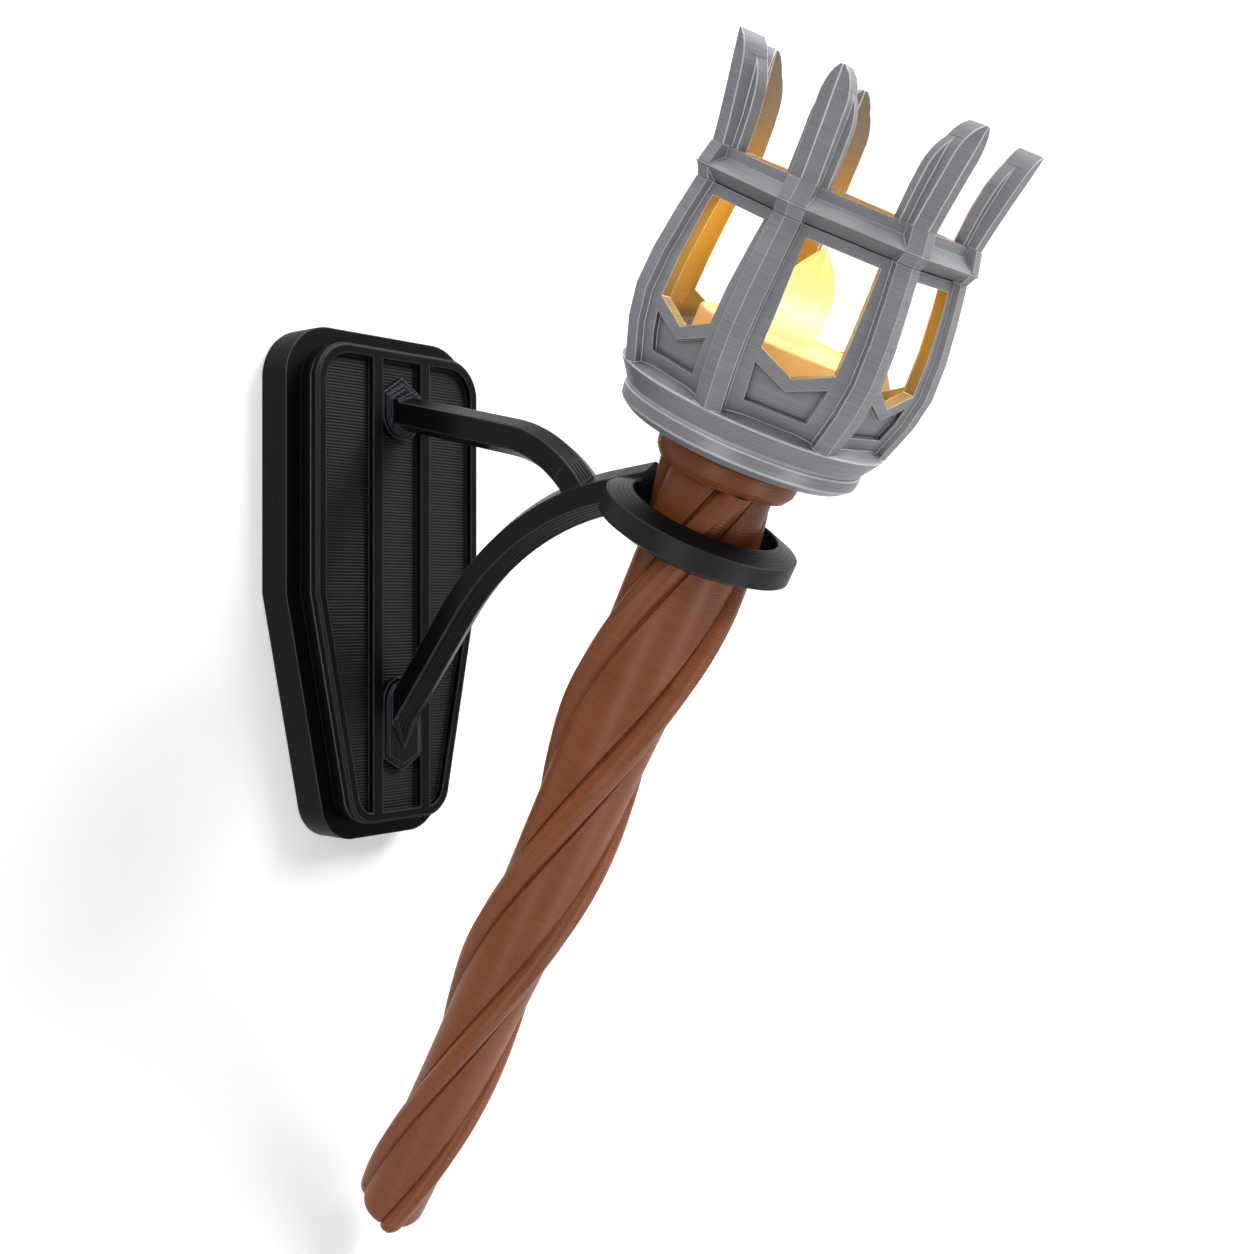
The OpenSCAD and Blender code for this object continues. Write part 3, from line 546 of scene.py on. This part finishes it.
def grip_skin(name, node, start, end):
    """Smooth twisted skin of a length of the handle, with closed ends."""
    profile = [section(k * 360 / AROUND) for k in range(AROUND)]
    steps = max(8, int((end - start) / ROW_STEP))
    verts = []
    for row in range(steps + 1):
        d = start + (end - start) * row / steps
        size = grip_size(d)
        u = (d - BEND_TOP) / BEND_LENGTH
        off = (BEND_START + BEND_SLOPE * u + BEND_CURVE * u * u) / 1000
        spin = TURN + (TURN_AT - d * 1000) * 360 / PITCH
        inset = tip_inset(d) * TIP_SHARE
        for k, radius in enumerate(profile):
            a = math.radians(k * 360 / AROUND + spin)
            r = max(radius * size - inset, LEAST_RADIUS)
            verts.append(TO_TORCH @ Vector((r * math.cos(a), off + r * math.sin(a), -d)))
    faces = []
    for i in range(steps):
        for k in range(AROUND):
            n = (k + 1) % AROUND
            faces.append((i * AROUND + k, (i + 1) * AROUND + k, (i + 1) * AROUND + n, i * AROUND + n))
    for i, flip in ((0, False), (steps, True)):
        ring = list(range(i * AROUND, (i + 1) * AROUND))
        middle = sum((verts[k] for k in ring), Vector()) / AROUND
        if flip:
            middle += TO_TORCH.to_3x3() @ Vector((0, 0, -TIP_BULGE))
        verts.append(middle)
        for k in range(AROUND):
            pair = (ring[k], ring[(k + 1) % AROUND])
            faces.append((len(verts) - 1, *(pair[::-1] if flip else pair)))
    mesh = bpy.data.meshes.new(name)
    mesh.from_pydata([tuple(v) for v in verts], [], faces)
    mesh.polygons.foreach_set("use_smooth", [True] * len(mesh.polygons))
    skin = new_piece(name, mesh, brown)
    edge = skin.modifiers.new("creases", "EDGE_SPLIT")
    edge.split_angle = math.radians(60)
    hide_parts(node)
    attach(skin, "torch")


grip_skin("upper_grip_skin", "upper_grip", GRIP_TOP, SEAT_TOP)
grip_skin("lower_grip_skin", "lower_grip", SEAT_FOOT, GRIP_TIP)

# ---------------------------------------------------------------- arm

TOE_HALF = 0.0039
FOOT_Y, FLANK_Y, KEEL_Y = -0.0175, -0.0193, -0.0211
FLANK_Z, KEEL_Z, FOOT_Z, POINT_Z = -0.0323, -0.0338, -0.0342, -0.0414


def arm_toe():
    """Beak that carries the keel of the lower arm on down to a point on its foot."""
    corners = [(-TOE_HALF, FLANK_Y, FLANK_Z), (TOE_HALF, FLANK_Y, FLANK_Z), (0, KEEL_Y, KEEL_Z),
               (-TOE_HALF, FOOT_Y, FOOT_Z), (TOE_HALF, FOOT_Y, FOOT_Z), (0, FOOT_Y, POINT_Z)]
    shell = bmesh.new()
    for corner in corners:
        shell.verts.new(corner)
    bmesh.ops.convex_hull(shell, input=shell.verts)
    bmesh.ops.recalc_face_normals(shell, faces=shell.faces)
    mesh = bpy.data.meshes.new("arm_toe")
    shell.to_mesh(mesh)
    shell.free()
    toe = new_piece("arm_toe", mesh, black_x)
    bevel = toe.modifiers.new("edges", "BEVEL")
    bevel.width = 0.0003
    bevel.segments = 3
    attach(toe, nodes["lower_arm"]["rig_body"])


arm_toe()

# ---------------------------------------------------------------- camera

camera = bpy.data.objects.new("camera", bpy.data.cameras.new("camera"))
scene.collection.objects.link(camera)
camera.data.sensor_width = 36
camera.data.lens = 43.30
camera.data.shift_x = -0.0081
camera.data.shift_y = -0.0220
camera.data.clip_start = 0.01
camera.data.clip_end = 20
camera.location = (-0.2554, -0.3006, -0.0035)
camera.rotation_euler = (math.radians(90), 0, math.radians(-50.83))
scene.camera = camera

# ---------------------------------------------------------------- wall, floor and light


def seen(tree):
    """1 to the camera, to mirrors and to glass, and 0 to all other light."""
    path = tree.nodes.new("ShaderNodeLightPath")
    last = path.outputs["Is Camera Ray"]
    for name in ("Is Glossy Ray", "Is Transmission Ray"):
        most = tree.nodes.new("ShaderNodeMath")
        most.operation = "MAXIMUM"
        tree.links.new(last, most.inputs[0])
        tree.links.new(path.outputs[name], most.inputs[1])
        last = most.outputs[0]
    return last


SOFT_SKY, SKY_STRENGTH = (0.94, 0.96, 1.0), 0.25


def studio():
    """A white world where it is seen, that lights the object softly."""
    world = bpy.data.worlds.new("studio")
    scene.world = world
    world.use_nodes = True
    tree = world.node_tree
    tree.nodes.clear()
    out = tree.nodes.new("ShaderNodeOutputWorld")
    white = tree.nodes.new("ShaderNodeBackground")
    white.inputs["Color"].default_value = (*WHITE, 1)
    soft = tree.nodes.new("ShaderNodeBackground")
    soft.inputs["Color"].default_value = (*SOFT_SKY, 1)
    soft.inputs["Strength"].default_value = SKY_STRENGTH
    mix = tree.nodes.new("ShaderNodeMixShader")
    tree.links.new(seen(tree), mix.inputs["Fac"])
    tree.links.new(soft.outputs[0], mix.inputs[1])
    tree.links.new(white.outputs[0], mix.inputs[2])
    tree.links.new(mix.outputs[0], out.inputs["Surface"])


def backdrop(name, corners, own_light, two_sided):
    """A plain white sheet that shows the object's shadow over a light of its own.

    One that isn't two-sided is seen from its front only, and shades and lights nothing.
    """
    mesh = bpy.data.meshes.new(name)
    mesh.from_pydata(corners, [], [(0, 1, 2, 3)])
    g = Graph(name)
    sheet = new_piece(name, mesh, g.mat)
    two_tone(g, g.noise(g.place(False, EVEN), 8, 3.0), (0.8, 0.8, 0.8), (0.82, 0.82, 0.82))
    g.set(Roughness=0.9, Specular_IOR_Level=0.0)
    glow = g.add("ShaderNodeEmission")
    glow.inputs["Strength"].default_value = own_light
    both = g.add("ShaderNodeAddShader")
    g.join(g.shader, "BSDF", both, 0)
    g.join(glow, "Emission", both, 1)
    last = g.add("ShaderNodeMixShader")
    g.tree.links.new(seen(g.tree), last.inputs["Fac"])
    g.join(g.shader, "BSDF", last, 1)
    g.join(both, "Shader", last, 2)
    if not two_sided:
        front = last
        clear = g.add("ShaderNodeBsdfTransparent")
        side = g.add("ShaderNodeNewGeometry")
        last = g.add("ShaderNodeMixShader")
        g.join(side, "Backfacing", last, "Fac")
        g.join(front, "Shader", last, 1)
        g.join(clear, "BSDF", last, 2)
        sheet.visible_diffuse = False
        sheet.visible_glossy = False
        sheet.visible_transmission = False
        sheet.visible_shadow = False
    g.join(last, "Shader", g.out, "Surface")


def area(name, place, aim, size, power, along=(0, 0, 1), glossy_only=False):
    """Rectangular lamp whose second side lies along a direction."""
    lamp = bpy.data.lights.new(name, "AREA")
    lamp.shape = "RECTANGLE"
    lamp.size, lamp.size_y = size
    lamp.energy = power
    o = bpy.data.objects.new(name, lamp)
    scene.collection.objects.link(o)
    back = (Vector(place) - Vector(aim)).normalized()
    up = Vector(along) - back * back.dot(Vector(along))
    up.normalize()
    turn = Matrix((up.cross(back), up, back)).transposed().to_4x4()
    o.matrix_world = Matrix.Translation(place) @ turn
    if glossy_only:
        o.visible_diffuse = False


def candle_lamp():
    """Warm lamp inside the flame, that goes with the candle."""
    lamp = bpy.data.lights.new("candle lamp", "POINT")
    lamp.energy = 0.048
    lamp.color = (1.0, 0.54, 0.06)
    lamp.shadow_soft_size = 0.004
    o = bpy.data.objects.new("candle lamp", lamp)
    scene.collection.objects.link(o)
    o.location = TO_TORCH @ Vector((0, CANDLE_Y, -0.0165))
    o.parent = frame["bodies"]["candle"]


FLOOR_Z, FLOOR_HALF = -0.75, 6
WALL_Y, WALL_HALF, WALL_FOOT, WALL_TOP = 0.0004, 3, -0.74, 3
OBJECT = (0, -0.08, 0.0)
HANDLE = (0, -0.066, -0.068)

studio()
backdrop("floor", [(-FLOOR_HALF, -FLOOR_HALF, FLOOR_Z), (FLOOR_HALF, -FLOOR_HALF, FLOOR_Z),
                   (FLOOR_HALF, FLOOR_HALF, FLOOR_Z), (-FLOOR_HALF, FLOOR_HALF, FLOOR_Z)], 0.65, True)
backdrop("wall", [(-WALL_HALF, WALL_Y, WALL_FOOT), (WALL_HALF, WALL_Y, WALL_FOOT),
                  (WALL_HALF, WALL_Y, WALL_TOP), (-WALL_HALF, WALL_Y, WALL_TOP)], 0.4, False)
area("key", (0.55, -1.0, 0.8), OBJECT, (0.6, 0.5), 16.4)
area("fill", (-1.1, -0.6, 0.6), OBJECT, (0.5, 0.7), 4.4)
area("top", (-0.2, -0.3, 1.2), OBJECT, (0.6, 0.4), 8)
# two strips along the handle that show only as sheen, on whatever faces them
area("left strip", (-0.87, -0.2, -0.56), HANDLE, (0.36, 0.9), 5, TORCH_AXIS, glossy_only=True)
area("front strip", (0.07, -0.55, -0.64), HANDLE, (0.26, 0.7), 3, TORCH_AXIS, glossy_only=True)
candle_lamp()
